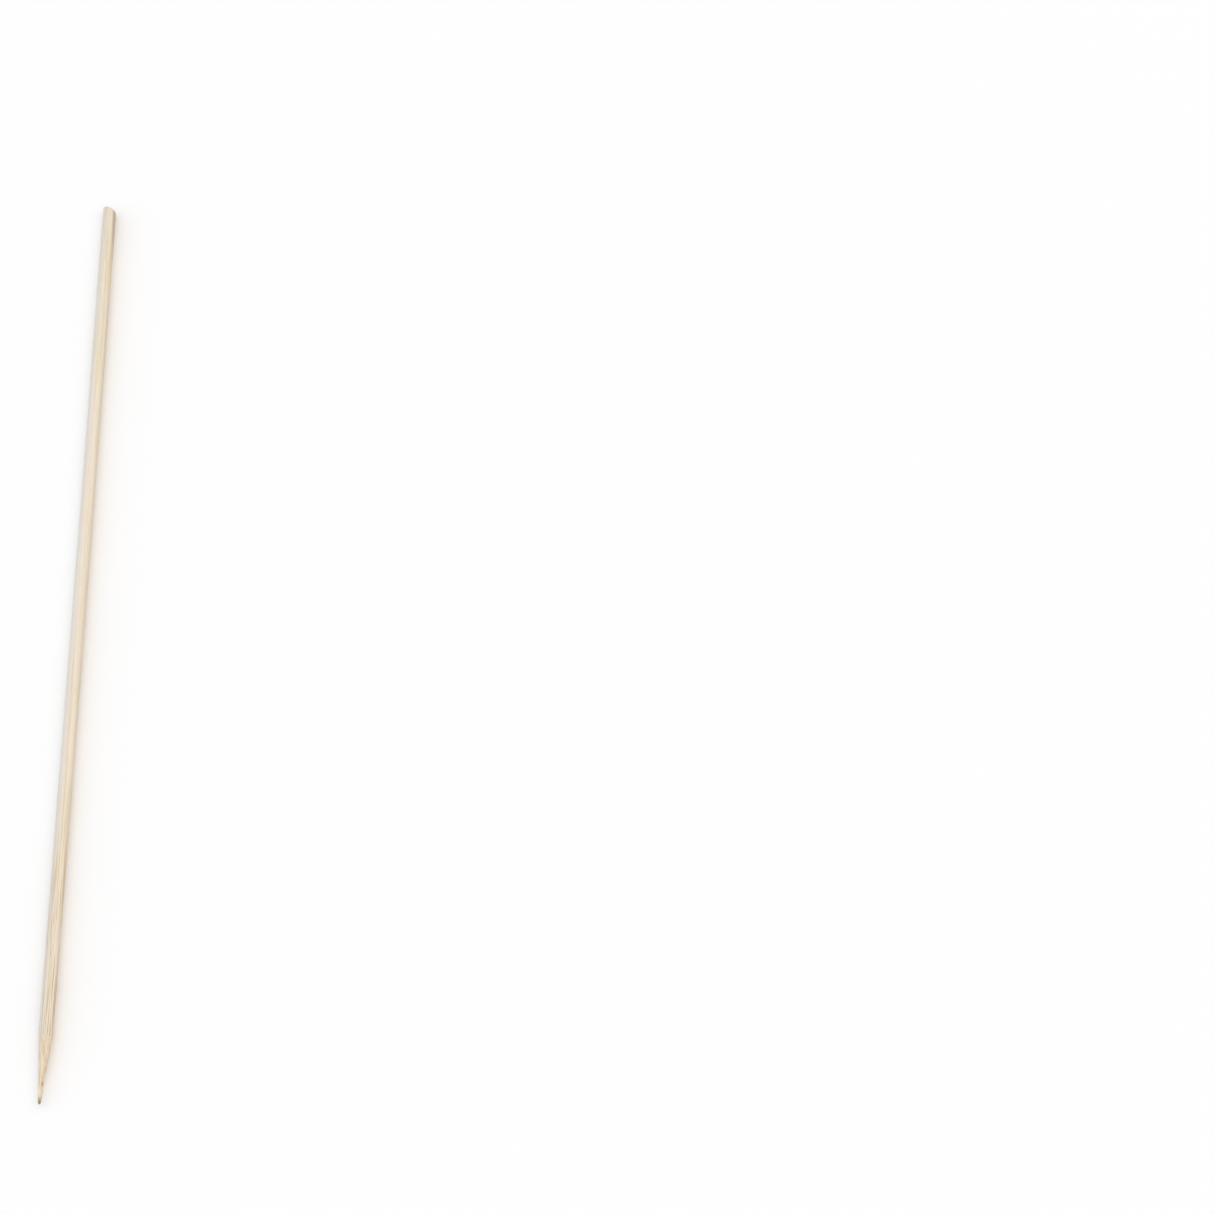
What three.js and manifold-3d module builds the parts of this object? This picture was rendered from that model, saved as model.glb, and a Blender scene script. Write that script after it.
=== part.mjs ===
// A bamboo barbecue skewer: one rod, cut from a strip of bamboo, with a long ground point and a sawn butt.
// Millimetres. The rod lies along X with its point at +X and rests on its lower flat, so +Z is up.
// The origin is under the middle of the rod, on the surface that it lies on.
import * as THREE from 'three';
import { mergeVertices, toCreasedNormals } from 'three/addons/utils/BufferGeometryUtils.js';
import Module from 'manifold-3d';

// The rod as a whole
const LENGTH = 300; // from the middle of the sawn butt to the tip
const DIAMETER = 3.9; // across the round of the rod
const BOW = 0.15; // how far the middle stands off the straight line between the ends, sideways

// The section. Two grooved cutters, one above and one below the strip, leave it round,
// but flat along the strip's own two faces and along the seams where the cutters meet.
const FACE_FLAT_WIDTH = 1.1;
const SEAM_FLAT_WIDTH = 0.5;

// The point, ground on a slow wheel: a long cone, hollowed a little and rounded over at its end
const POINT_LENGTH = 21;
const POINT_HOLLOW = 0.08; // how far the cone's side lies inside a straight line
const TIP_DIAMETER = 0.84; // of the cone at its very end, before that end is rounded over
const NOSE_LENGTH = 1.5; // the stretch that is rounded over
const TIP_OFFSET = 0.25; // the tip sits off the rod's axis, because the rod was ground at a slant

// The butt, sawn off at a slant, with its edge knocked off in the tumbling drum
const CUT_ANGLE = THREE.MathUtils.degToRad(26);
const EDGE_BREAK = 0.3;

// How finely the round shapes are divided
const ARC_STEPS = 5; // each of the section's four arcs gets twice as many sides
const ROD_STEPS = 16; // along the bow
const PROFILE_STEPS = 9; // along each curve of the point's outline
const TURNED_SIDES = 48; // around the point and the butt
const CREASE_ANGLE = THREE.MathUtils.degToRad(12); // edges sharper than this are shaded sharp

// The blank is longer than the finished rod, and each end's waste is wider than the blank.
const STOCK = 2;
const WASTE_RADIUS = DIAMETER;

const radius = DIAMETER / 2;
const wasm = await Module();
wasm.setup();

// A closed three.js geometry as a solid that can be cut
function toSolid(geometry) {
  geometry.deleteAttribute('normal');
  geometry.deleteAttribute('uv');
  const merged = mergeVertices(geometry);
  const mesh = new wasm.Mesh({
    numProp: 3,
    vertProperties: merged.getAttribute('position').array,
    triVerts: new Uint32Array(merged.getIndex().array),
  });
  return new wasm.Manifold(mesh);
}

// A cut solid as a three.js geometry, smooth on its round sides and sharp along its edges
function toGeometry(solid) {
  const { vertProperties, triVerts } = solid.getMesh();
  const geometry = new THREE.BufferGeometry();
  geometry.setAttribute('position', new THREE.BufferAttribute(vertProperties, 3));
  geometry.setIndex(new THREE.BufferAttribute(triVerts, 1));
  return toCreasedNormals(geometry, CREASE_ANGLE);
}

// The section, with its first axis pointing down and its second sideways once it is swept along the rod
function sectionShape() {
  const faceHalf = Math.asin(FACE_FLAT_WIDTH / DIAMETER);
  const seamHalf = Math.asin(SEAM_FLAT_WIDTH / DIAMETER);
  const quarter = Math.PI / 2;
  const shape = new THREE.Shape();
  for (let i = 0; i < 4; i++) {
    const [before, after] = i % 2 ? [seamHalf, faceHalf] : [faceHalf, seamHalf];
    shape.absarc(0, 0, radius, i * quarter + before, (i + 1) * quarter - after, false);
  }
  return shape;
}

// The line that the rod's middle follows, bowed in the plane that it lies in
function rodAxis() {
  const half = LENGTH / 2 + STOCK;
  return new THREE.QuadraticBezierCurve3(
    new THREE.Vector3(-half, 0, 0),
    new THREE.Vector3(0, 2 * BOW, 0),
    new THREE.Vector3(half, 0, 0),
  );
}

// The rod before its ends are shaped
function blank(axis) {
  return new THREE.ExtrudeGeometry(sectionShape(), {
    curveSegments: ARC_STEPS,
    steps: ROD_STEPS,
    extrudePath: axis,
  });
}

// The waste around an end, turned as a cup whose inside is the finished end. The outline runs from
// the centre of the end to past the rod's side, and +Y points out of the rod.
function wasteCup(outline) {
  const rim = outline[outline.length - 1];
  return new THREE.LatheGeometry([
    ...outline,
    new THREE.Vector2(WASTE_RADIUS, rim.y),
    new THREE.Vector2(WASTE_RADIUS, 2 * STOCK),
    new THREE.Vector2(0, 2 * STOCK),
  ], TURNED_SIDES);
}

// The point's outline: the rounded nose, the hollowed cone, and a short run-out past the rod's side
function pointOutline() {
  const tipRadius = TIP_DIAMETER / 2;
  const slope = (radius - tipRadius) / POINT_LENGTH;
  const noseRadius = tipRadius + slope * NOSE_LENGTH;
  const outline = new THREE.Path();
  outline.moveTo(0, 0);
  outline.quadraticCurveTo(tipRadius, 0, noseRadius, -NOSE_LENGTH);
  outline.quadraticCurveTo(
    (noseRadius + radius) / 2 - 2 * POINT_HOLLOW,
    -(NOSE_LENGTH + POINT_LENGTH) / 2,
    radius,
    -POINT_LENGTH,
  );
  outline.lineTo(radius + slope * STOCK, -POINT_LENGTH - STOCK);
  return outline.getPoints(PROFILE_STEPS);
}

// The waste around the point. It passes through the rod's axis at the shoulder and leans to the tip.
function pointWaste(axis) {
  const shoulder = axis.getPointAt(1 - (POINT_LENGTH + STOCK) / (LENGTH + 2 * STOCK));
  const lean = Math.atan2(shoulder.y + TIP_OFFSET, POINT_LENGTH);
  return wasteCup(pointOutline())
    .rotateZ(-Math.PI / 2 - lean)
    .translate(LENGTH / 2, -TIP_OFFSET, 0);
}

// The waste beyond the butt: everything past the saw cut, with a bevel around the edge
function buttWaste() {
  const flatRadius = radius - EDGE_BREAK;
  const outline = [
    new THREE.Vector2(0, 0),
    new THREE.Vector2(flatRadius, 0),
    new THREE.Vector2(WASTE_RADIUS, flatRadius - WASTE_RADIUS),
  ];
  return wasteCup(outline)
    .rotateZ(Math.PI / 2 - CUT_ANGLE)
    .translate(-LENGTH / 2, 0, 0);
}

function skewer() {
  const axis = rodAxis();
  const rod = toSolid(blank(axis))
    .subtract(toSolid(pointWaste(axis)))
    .subtract(toSolid(buttWaste()));
  const bamboo = new THREE.MeshStandardMaterial({ color: 0xe8d9c2, roughness: 0.62, metalness: 0 });
  const mesh = new THREE.Mesh(toGeometry(rod), bamboo);
  mesh.name = 'skewer';
  return mesh;
}

// Puts the origin under the middle of a mesh's box.
function standOnOrigin(mesh) {
  const box = new THREE.Box3().setFromObject(mesh);
  const middle = box.getCenter(new THREE.Vector3());
  mesh.position.set(-middle.x, -middle.y, -box.min.z);
  return mesh;
}

const part = new THREE.Group();
part.add(standOnOrigin(skewer()));

export default part;
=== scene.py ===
# %% [markdown]
# # A bamboo barbecue skewer
# A skewer starts as a strip split from the wall of a bamboo culm. Rollers pull the strip between two
# half-round cutters, which leave a round rod with a narrow flat where each face of the strip was.
# Rods are sawn to length, one end is ground to a long point, and all are tumbled until they are smooth.
# This lesson loads the measured solid and builds a finely meshed skewer in its place, with its fibres.

# %% Load the measured skewer
import math

import bpy
import numpy as np
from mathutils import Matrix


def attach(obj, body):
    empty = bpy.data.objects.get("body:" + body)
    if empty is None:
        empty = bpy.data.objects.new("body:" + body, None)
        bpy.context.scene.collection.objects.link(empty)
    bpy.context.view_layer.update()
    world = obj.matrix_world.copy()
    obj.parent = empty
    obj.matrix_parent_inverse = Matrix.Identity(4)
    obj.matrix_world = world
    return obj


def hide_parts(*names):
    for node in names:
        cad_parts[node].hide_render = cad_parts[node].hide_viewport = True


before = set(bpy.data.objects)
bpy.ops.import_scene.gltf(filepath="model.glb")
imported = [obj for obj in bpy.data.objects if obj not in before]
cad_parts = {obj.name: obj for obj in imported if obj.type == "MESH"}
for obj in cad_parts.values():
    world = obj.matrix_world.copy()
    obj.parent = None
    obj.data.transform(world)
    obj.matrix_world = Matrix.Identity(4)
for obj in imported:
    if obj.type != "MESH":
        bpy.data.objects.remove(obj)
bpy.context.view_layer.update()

MM = 0.001

# %% [markdown]
# ## The view
# The photograph looks down on the skewer from beyond its point, with a long lens. The lens, the height
# and the distance were fitted to the skewer's two ends: its point is nearer, and so it looks thicker.

# %% The camera
AZIMUTH = math.radians(90.1869)
ELEVATION = math.radians(57.0)
DISTANCE = 1.321242
AIM = np.array([-0.008937, 0.150033, 0.0])
SENSOR_WIDTH = 36.0  # millimetres, as the focal length
FOCAL_LENGTH = 137.6


def towards_camera():
    """The direction from the aim point to the camera."""
    level = math.cos(ELEVATION)
    return np.array([math.sin(AZIMUTH) * level, -math.cos(AZIMUTH) * level, math.sin(ELEVATION)])


camera = bpy.data.objects.new("camera", bpy.data.cameras.new("camera"))
camera.data.sensor_width = SENSOR_WIDTH
camera.data.lens = FOCAL_LENGTH
camera.location = AIM + DISTANCE * towards_camera()
camera.rotation_euler = (math.pi / 2 - ELEVATION, 0.0, AZIMUTH)
bpy.context.scene.collection.objects.link(camera)
bpy.context.scene.camera = camera
print("camera, m:", [round(v, 3) for v in camera.location])

# %% [markdown]
# ## The lengthwise profile
# The skin is a row of rings, and each ring sits at a station along the rod. These are the sizes of the
# solid, and the two curves of its point, in millimetres: a rounded nose, and a cone that is a little
# hollowed. Both curves are parabolas, so each needs only its two ends and a middle.

# %% Sizes of the rod, in millimetres
RADIUS = 1.95
FLAT_REACH = 1.8708  # from the axis to the flats left by the strip's faces
SEAM_REACH = 1.9339  # from the axis to the flats where the two cutters met
AXIS_HEIGHT = FLAT_REACH  # the rod lies on its lower flat
BUTT = (-149.638, -0.0763)  # the middle of the sawn end, along and across
TIP = (150.362, -0.3263)
HALF_LENGTH = 150.0
BOW = 0.15
BOW_HALF_SPAN = 152.0  # the rod was bowed before its ends were cut off
POINT_LENGTH = 21.0
POINT_HOLLOW = 0.08
NOSE_LENGTH = 1.5
TIP_RADIUS = 0.42
CUT_ANGLE = math.radians(26)
EDGE_ROUND = 0.6
FACE_INSET = 0.03  # keeps the rounded edge inside the box of the solid's bevel
NOSE_STEPS = 24
CONE_STEPS = 116


def axis_sideways(x):
    """How far the rod's axis stands sideways at x: a slow bow from end to end."""
    share = (x - BUTT[0] + BOW_HALF_SPAN - HALF_LENGTH) / (2 * BOW_HALF_SPAN)
    return BUTT[1] + 4 * BOW * share * (1 - share)


def nose_base_radius():
    """The cone's radius where the nose begins."""
    slope = (RADIUS - TIP_RADIUS) / POINT_LENGTH
    return TIP_RADIUS + slope * NOSE_LENGTH


def nose_outline(steps):
    """Depths behind the tip and radii along the rounded nose."""
    t = np.linspace(0, 1, steps + 1)[1:]
    return t ** 2 * NOSE_LENGTH, 2 * t * (1 - t) * TIP_RADIUS + t ** 2 * nose_base_radius()


def cone_outline(steps):
    """Depths behind the tip and radii along the ground cone."""
    start = nose_base_radius()
    middle = (start + RADIUS) / 2 - 2 * POINT_HOLLOW
    t = np.linspace(0, 1, steps + 1)[1:]
    depth = NOSE_LENGTH + t * (POINT_LENGTH - NOSE_LENGTH)
    return depth, (1 - t) ** 2 * start + 2 * t * (1 - t) * middle + t ** 2 * RADIUS


nose_depth, nose_radius = nose_outline(NOSE_STEPS)
cone_depth, cone_radius = cone_outline(CONE_STEPS)
print("point:", NOSE_STEPS + CONE_STEPS, "rings, nose radius", round(nose_radius[-1], 3), "mm")

# %% [markdown]
# ## The section
# Seen from the end, the rod is a circle with four flats. The ones above and below are what is left of the
# strip's faces, and the ones at the sides are where the upper and the lower cutter met. From a place near
# the axis, the surface is met in each direction where the nearest of the circle and the flats is.

# %% Directions around the rod
AROUND = 120
GRAZING = 0.05  # a direction closer to a flat's own plane than this never meets it
FAR = 99.0  # stands for a surface that isn't met
angle = np.arange(AROUND) * 2 * np.pi / AROUND  # from straight down, round by +Y to straight up
TO_SIDE = np.sin(angle)
UPWARD = -np.cos(angle)


def along_ray(reach, cosine):
    """Distance to a flat whose normal makes that cosine with the direction."""
    return np.where(cosine > GRAZING, reach / np.maximum(cosine, GRAZING), FAR)


def section_reach(offset, swell):
    """Distance to the rod's surface in each direction, from places offset sideways of its axis."""
    offset = offset[:, None]
    swell = swell[:, None]
    forward = offset * TO_SIDE
    circle = np.sqrt((RADIUS * swell) ** 2 - offset ** 2 + forward ** 2) - forward
    faces = np.minimum(along_ray(FLAT_REACH, UPWARD), along_ray(FLAT_REACH, -UPWARD))
    seam_right = along_ray(SEAM_REACH * swell - offset, TO_SIDE)
    seam_left = along_ray(SEAM_REACH * swell + offset, -TO_SIDE)
    return np.minimum(np.minimum(circle, faces[None, :]), np.minimum(seam_right, seam_left))


print("section: flats", round(2 * math.sqrt(RADIUS ** 2 - FLAT_REACH ** 2), 2), "mm wide")

# %% [markdown]
# ## The rings, from butt to tip
# The rings go out over the sawn face, round its tumbled edge, along the shaft, down the cone and over the
# nose. The shaft hardly changes lengthwise, so its rings stand half a millimetre apart, and the others
# are closer. No rod is even: the cutters chatter and the strip springs, so the diameter swells and thins
# by a hundredth or so. The flats keep their distance, and so they widen and narrow.

# %% Stations of the rings
FACE_RINGS = 15
EDGE_RINGS = 9
LEAN_RINGS = 4  # between the slanted edge and the first square ring
SHAFT_STEP = 0.52
SHAFT_START = 2.1  # beyond the middle of the sawn face, clear of its slanted edge
SHAFT_END = 1.2  # short of the point
RUN_OUT = np.array([1.0, 0.6, 0.2])  # the last stations before the point, short of it
SWELL_WAVES = ((29, 0.4, 1.0), (13.1, 2.1, 0.7), (6.7, 4.0, 0.4))  # stretch, start and share of each
SWELL_MEAN = 0.987
SWELL_SHARE = 0.0055

shaft_x = np.arange(BUTT[0] + SHAFT_START, TIP[0] - POINT_LENGTH - SHAFT_END, SHAFT_STEP)
point_x = TIP[0] - np.concatenate([POINT_LENGTH + RUN_OUT, cone_depth[::-1]])
nose_x = TIP[0] - nose_depth[::-1][1:]
side_x = np.concatenate([shaft_x, point_x, nose_x])


def swell_at(x):
    """The rod's diameter at x as a share of the full one, never above it."""
    waves = sum(share * np.sin(x / stretch + start) for stretch, start, share in SWELL_WAVES)
    return SWELL_MEAN + SWELL_SHARE * waves


def point_limit(depth):
    """The radius of the ground point that far behind the tip; no limit on the shaft."""
    depths = np.concatenate([[0.0], nose_depth, cone_depth])
    radii = np.concatenate([[0.0], nose_radius, cone_radius])
    return np.where(depth > POINT_LENGTH, FAR, np.interp(depth, depths, radii))


def ring_middle(x):
    """The sideways place of a ring's middle: on the axis, and on the cone's own line in the point."""
    shoulder = TIP[0] - POINT_LENGTH
    share = np.clip((x - shoulder) / POINT_LENGTH, 0, 1)
    leaning = axis_sideways(shoulder) * (1 - share) + TIP[1] * share
    return np.where(x > shoulder, leaning, axis_sideways(x))


side_middle = ring_middle(side_x)
side_reach = section_reach(side_middle - axis_sideways(side_x), swell_at(side_x))
ground_reach = point_limit(TIP[0] - side_x)[:, None] * np.ones(AROUND)
is_ground = ground_reach < side_reach
side_reach = np.minimum(side_reach, ground_reach)
print("side:", len(side_x), "rings; diameter varies", round(100 * np.ptp(swell_at(shaft_x)), 1), "%")

# %% [markdown]
# ## Fibres that stand in relief
# Bamboo has no rays or rings. Hard strands of fibre run its whole length in softer tissue, so a tumbled
# rod has shallow grooves between the strands, and here and there a sliver has torn out. Both are cut into
# the mesh, because a bump alone would leave the outline too clean. All relief goes inwards.

# %% Grooves and torn slivers
GROOVES = 90
GROOVE_STARTS = (-190, 140)  # millimetres along the rod
GROOVE_LENGTHS = (35, 150)
GROOVE_WIDTHS = (0.05, 0.11)  # radians around the rod
GROOVE_DEPTHS = (0.006, 0.02)
GROOVE_DRIFT = 0.0012  # the most that a groove turns around the rod in a millimetre, in radians
GROOVE_TAPER = 0.6
SLIVERS = 16
SLIVER_STARTS = (-145, 120)
SLIVER_LENGTHS = (4, 13)
SLIVER_WIDTHS = (0.055, 0.09)
SLIVER_DEPTHS = (0.025, 0.05)
SLIVER_BREAK = 8  # it reaches its full depth in one part of so many of its length
FINE_STRETCH = 8.0  # the relief grows finer over this stretch behind the tip
LEAST_RELIEF = 0.12
SEED = 41
rng = np.random.default_rng(SEED)


def around_gap(middle):
    """The shortest way round from each direction to a middle angle that changes from ring to ring."""
    return (angle[None, :] - middle[:, None] + np.pi) % (2 * np.pi) - np.pi


def grooves(x, count):
    """Long shallow grooves between the strands of fibre."""
    relief = np.zeros((len(x), AROUND))
    for _ in range(count):
        start = rng.uniform(*GROOVE_STARTS)
        length = rng.uniform(*GROOVE_LENGTHS)
        width = rng.uniform(*GROOVE_WIDTHS)
        depth = rng.uniform(*GROOVE_DEPTHS)
        middle = rng.uniform(0, 2 * np.pi) + rng.uniform(-GROOVE_DRIFT, GROOVE_DRIFT) * x
        share = np.clip((x - start) / length, 0, 1)
        fade = np.sin(np.pi * share) ** GROOVE_TAPER
        relief += (depth * fade)[:, None] * np.exp(-(around_gap(middle) / width) ** 2)
    return relief


def torn_slivers(x, count):
    """Short deeper cuts, sharp where the sliver broke off and shallow where it ran out."""
    relief = np.zeros((len(x), AROUND))
    for _ in range(count):
        start = rng.uniform(*SLIVER_STARTS)
        length = rng.uniform(*SLIVER_LENGTHS)
        width = rng.uniform(*SLIVER_WIDTHS)
        depth = rng.uniform(*SLIVER_DEPTHS)
        middle = np.full(len(x), rng.uniform(0, 2 * np.pi))
        share = np.clip((x - start) / length, 0, 1)
        fade = np.where(share < 1, np.clip(share * SLIVER_BREAK, 0, 1) * (1 - share), 0)
        relief += (depth * fade)[:, None] * np.exp(-(around_gap(middle) / width) ** 4)
    return relief


side_relief = grooves(side_x, GROOVES) + torn_slivers(side_x, SLIVERS)
side_relief *= np.clip((TIP[0] - side_x) / FINE_STRETCH, LEAST_RELIEF, 1)[:, None]
mean_microns, deepest_microns = 1000 * side_relief.mean(), 1000 * side_relief.max()
print("relief: mean", round(mean_microns, 1), "deepest", round(deepest_microns, 1), "microns")

# %% [markdown]
# ## The ground point
# Rollers spin the rod while its end leans against a grinding wheel. The rod slips and pauses, so the
# point isn't a true cone as from a lathe. It has faint flat places, and its nose is off round.

# %% Unevenness of the cone
FACETS = 3  # around the cone
FACET_DEPTH = 0.02
LOBE_DEPTH = 0.012
FACET_TURN, FACET_PAUSE, LOBE_TURN = 3.1, 2.3, 14  # millimetres along the point for each radian
THINNEST = 0.04  # the radius that is left at the very tip


def ground_unevenness(x):
    """How far the cone lies below a true one: short flat places, and long lobes that turn around it."""
    along = x[:, None]
    turned = np.cos(FACETS * angle[None, :] + along / FACET_TURN)
    facets = 0.5 + 0.5 * turned * np.cos(along / FACET_PAUSE + 1.0)
    lobes = 0.5 + 0.5 * np.cos(2 * angle[None, :] + 1.1 + along / LOBE_TURN)
    return FACET_DEPTH * facets + LOBE_DEPTH * lobes


near_nose = np.clip((TIP[0] - side_x) / NOSE_LENGTH, 0, 1)[:, None]
side_relief += np.where(is_ground, ground_unevenness(side_x) * near_nose, 0)
side_reach = np.maximum(side_reach - side_relief, THINNEST)
print("point: unevenness up to", round(ground_unevenness(point_x).max(), 3), "mm")

# %% [markdown]
# ## The sawn butt
# A fast circular saw cuts a handful of rods at once, and this one lay slanted. Its teeth leave fine steps
# across the end, the hard strands stand a little proud of the soft tissue, and tumbling rounds the edge.

# %% The rounded edge
def cut_place(reach):
    """Where the saw's plane is along the rod, that far from the axis in each direction."""
    return BUTT[0] + FACE_INSET + reach * TO_SIDE * math.tan(CUT_ANGLE)


butt_surface = section_reach(np.zeros(1), swell_at(shaft_x[:1]))[0] - side_relief[0]
round_turn = np.linspace(0, math.pi / 2, EDGE_RINGS + 1)[:0:-1][:, None]
edge_reach = butt_surface - EDGE_ROUND * (1 - np.cos(round_turn))
edge_x = cut_place(edge_reach) + EDGE_ROUND * (1 - np.sin(round_turn))
lean_share = np.linspace(0, 1, LEAN_RINGS + 2)[:-1, None]
lean_x = (cut_place(butt_surface) + EDGE_ROUND) * (1 - lean_share) + side_x[0] * lean_share
lean_reach = butt_surface * np.ones_like(lean_share)
print("edge: rounded by", EDGE_ROUND, "mm in", EDGE_RINGS, "rings")

# %% The end face
SAW_PITCH = 0.46
SAW_DEPTH = 0.008
TISSUE_DEPTH = 0.012


def saw_steps(reach):
    """How deep the saw's steps and the soft tissue lie below the face, in each direction."""
    side = reach * TO_SIDE
    high = reach * UPWARD
    steps = 0.5 + 0.5 * np.sin(2 * np.pi * (high + 0.25 * side) / SAW_PITCH)
    tissue = 0.5 + 0.25 * (np.sin(15 * side + 3 * high) + np.sin(14 * high - 4 * side))
    return SAW_DEPTH * steps + TISSUE_DEPTH * tissue


face_share = (np.arange(FACE_RINGS) + 1)[:, None] / (FACE_RINGS + 1)
face_reach = face_share * edge_reach[0]
face_x = cut_place(face_reach) + saw_steps(face_reach)
print("butt: sawn", round(math.degrees(CUT_ANGLE)), "degrees out of square,", FACE_RINGS, "rings")

# %% [markdown]
# ## One closed mesh
# All rings are joined into one closed skin: quads between the rings, and a small fan of triangles in the
# middle of the sawn face and at the tip. It is a single piece, as the skewer is.

# %% Points
BUTT_DIMPLE = 0.01
TIP_DIMPLE = 0.002


def ring_points(x, middle, reach):
    """Rings as points in millimetres, one row of the array for each ring."""
    spread = np.ones((1, AROUND))
    across = middle * spread + reach * TO_SIDE
    return np.stack([x * spread, across, AXIS_HEIGHT + reach * UPWARD], axis=-1)


rings = np.concatenate([
    ring_points(face_x, BUTT[1], face_reach),
    ring_points(edge_x, BUTT[1], edge_reach),
    ring_points(lean_x, axis_sideways(lean_x), lean_reach),
    ring_points(side_x[:, None], side_middle[:, None], side_reach),
])
RING_COUNT = len(rings)
butt_middle = [BUTT[0] + FACE_INSET + BUTT_DIMPLE, BUTT[1], AXIS_HEIGHT]
tip_middle = [TIP[0] - TIP_DIMPLE, TIP[1], AXIS_HEIGHT]
points = np.concatenate([rings.reshape(-1, 3), [butt_middle, tip_middle]])
print("points:", len(points), "in", RING_COUNT, "rings")

# %% Faces
BUTT_POINT = RING_COUNT * AROUND
TIP_POINT = BUTT_POINT + 1
LAST_RING = (RING_COUNT - 1) * AROUND

column = np.arange(AROUND)
following = (column + 1) % AROUND
row = np.arange(RING_COUNT - 1)[:, None] * AROUND
quads = np.stack([row + column, row + following, row + AROUND + following, row + AROUND + column], axis=-1)
butt_fan = [(BUTT_POINT, int(b), int(a)) for a, b in zip(column, following)]
tip_fan = [(LAST_RING + int(a), LAST_RING + int(b), TIP_POINT) for a, b in zip(column, following)]
faces = quads.reshape(-1, 4).tolist() + butt_fan + tip_fan

skewer_mesh = bpy.data.meshes.new("skewer_rod")
skewer_mesh.from_pydata((points * MM).tolist(), [], faces)
skewer_mesh.polygons.foreach_set("use_smooth", np.ones(len(faces), bool))
skewer_rod = bpy.data.objects.new("skewer_rod", skewer_mesh)
bpy.context.scene.collection.objects.link(skewer_rod)
print("mesh:", 2 * quads.shape[0] * quads.shape[1] + 2 * AROUND, "triangles")

# %% [markdown]
# ## A flat pattern of the skin
# The skin is cut into three lengths, as a strip of veneer would be, and the three are laid side by side.
# The end face and the very tip get a small round of their own. Nothing is stretched much, so a picture
# baked from the material keeps the fine fibres.

# %% Unroll the skin
STRIPS = 3
STRIP_TALL = 0.298
STRIP_GAP = 0.004
FACE_ROUND = (0.06, 0.95, 0.0236)  # its middle in the pattern, and its scale for each millimetre
TIP_ROUND = (0.16, 0.95, 0.08)

ring_gap = np.linalg.norm(np.diff(rings[FACE_RINGS:], axis=0), axis=-1).mean(axis=1)
ring_run = np.concatenate([[0.0], np.cumsum(ring_gap)])
strip_of_ring = np.minimum((ring_run[:-1] / ring_run[-1] * STRIPS).astype(int), STRIPS - 1)
strip_first = np.array([ring_run[:-1][strip_of_ring == k][0] for k in range(STRIPS)])
strip_last = np.append(strip_first[1:], ring_run[-1])


def along_strip(ring_index):
    """Places of rings along the strips of the quads, from 0 to 1 with a small margin."""
    start = strip_first[strip_of_ring]
    share = (ring_run[ring_index] - start) / (strip_last[strip_of_ring] - start)
    return (STRIP_GAP + share * (1 - 2 * STRIP_GAP))[:, None] * np.ones(AROUND)


def side_pattern():
    """The corners of every quad on the side, in the flat pattern."""
    ring_index = np.arange(RING_COUNT - 1 - FACE_RINGS)
    start = along_strip(ring_index)
    end = along_strip(ring_index + 1)
    base = (strip_of_ring * (STRIP_TALL + STRIP_GAP) + STRIP_GAP)[:, None]
    low = base + STRIP_TALL * column / AROUND
    high = base + STRIP_TALL * (column + 1) / AROUND
    return np.stack([start, low, start, high, end, high, end, low], axis=-1).reshape(-1, 2)


def round_pattern(corners, sideways, place):
    """Corners laid flat as they are seen along the rod, around a middle that stands sideways."""
    left, low, scale = place
    across, up = points[corners][:, 1] - sideways, points[corners][:, 2] - AXIS_HEIGHT
    return np.stack([left + across * scale, low + up * scale], axis=-1)


pattern = np.concatenate([
    round_pattern(quads[:FACE_RINGS].reshape(-1), BUTT[1], FACE_ROUND),
    side_pattern(),
    round_pattern(np.array(butt_fan).reshape(-1), BUTT[1], FACE_ROUND),
    round_pattern(np.array(tip_fan).reshape(-1), TIP[1], TIP_ROUND),
])
skin_map = skewer_mesh.uv_layers.new(name="OFBake")
skin_map.data.foreach_set("uv", pattern.astype(np.float32).reshape(-1))
print("pattern: from", pattern.min().round(3), "to", pattern.max().round(3))

# %% [markdown]
# ## Node tools
# The materials are written as small networks of nodes, and these helpers keep each line to one node. An
# input is given a plain value, or the socket of another node that it is joined to.

# %% Helpers for nodes
FLOAT = "NodeSocketFloat"
VECTOR = "NodeSocketVector"
COLOUR = "NodeSocketColor"


def put(tree, kind, title, inputs=None, **settings):
    """Adds a node with a title, makes its settings, and fills or joins its inputs."""
    node = tree.nodes.new(kind)
    node.label = title
    for key, value in settings.items():
        setattr(node, key, value)
    for key, value in (inputs or {}).items():
        if isinstance(value, bpy.types.NodeSocket):
            tree.links.new(value, node.inputs[key])
        else:
            node.inputs[key].default_value = value
    return node


def empty_tree(owner):
    """The node tree of a material or a world, emptied."""
    owner.use_nodes = True
    owner.node_tree.nodes.clear()
    return owner.node_tree


def place_group(tree, group, title, inputs):
    """Puts a group into a tree with its own values."""
    return put(tree, "ShaderNodeGroup", title, inputs, node_tree=group)


def start_group(name, inputs, outputs):
    """A node group with named sockets, and its input and output nodes."""
    group = bpy.data.node_groups.new(name, "ShaderNodeTree")
    for title, kind, value in inputs:
        socket = group.interface.new_socket(title, in_out="INPUT", socket_type=kind)
        if value is not None:
            socket.default_value = value
    for title, kind in outputs:
        group.interface.new_socket(title, in_out="OUTPUT", socket_type=kind)
    return group, group.nodes.new("NodeGroupInput"), group.nodes.new("NodeGroupOutput")


def hand_out(group, result, **values):
    """Joins values to a group's outputs by their names."""
    for title, value in values.items():
        group.links.new(value, result.inputs[title])


print("node helpers ready")


# %% Helpers for values and masks
def arithmetic(tree, title, operation, *values, **settings):
    """One step of arithmetic on values that change over the surface."""
    inputs = dict(enumerate(values))
    return put(tree, "ShaderNodeMath", title, inputs, operation=operation, **settings).outputs[0]


def times(tree, title, first, second):
    """Two values multiplied."""
    return arithmetic(tree, title, "MULTIPLY", first, second)


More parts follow.
